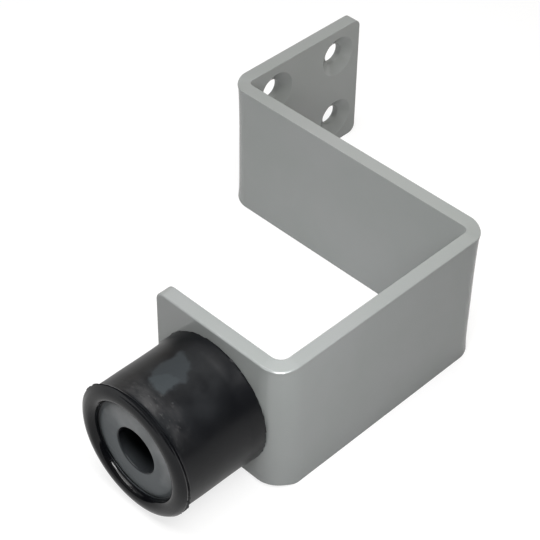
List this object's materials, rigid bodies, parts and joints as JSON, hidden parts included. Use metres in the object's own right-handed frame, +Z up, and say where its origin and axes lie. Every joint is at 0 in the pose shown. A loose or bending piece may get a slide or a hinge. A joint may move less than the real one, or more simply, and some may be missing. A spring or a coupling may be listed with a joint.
{
  "type": "wall door stop",
  "caption": "Bent flat-bar bracket with a countersunk wall flange and a round rubber buffer on its end plate, which stops a door beside the wall it is fixed to.",
  "frame": {"origin": "centre of the four wall holes, on the flange's face against the wall", "axes": "+Y into the wall, +Z up along the bar's width, +X along the wall from the end plate towards the flange's free end; the buffer points to -X"},
  "size_m": [0.146, 0.0895, 0.04],
  "materials": {
    "grey_powder_coat": "semi-gloss grey powder coat on mild steel",
    "black_rubber": "satin moulded black rubber",
    "zinc_plated_steel": "bright zinc plate",
    "nylon": "natural nylon"
  },
  "bodies": {
    "root": {"bracket": "grey_powder_coat", "rubber_buffer": "black_rubber", "buffer_screw": "zinc_plated_steel", "bore_washer": "zinc_plated_steel", "back_washer": "zinc_plated_steel", "lock_nut": "zinc_plated_steel", "nut_ring": "nylon"}
  },
  "joints": []
}
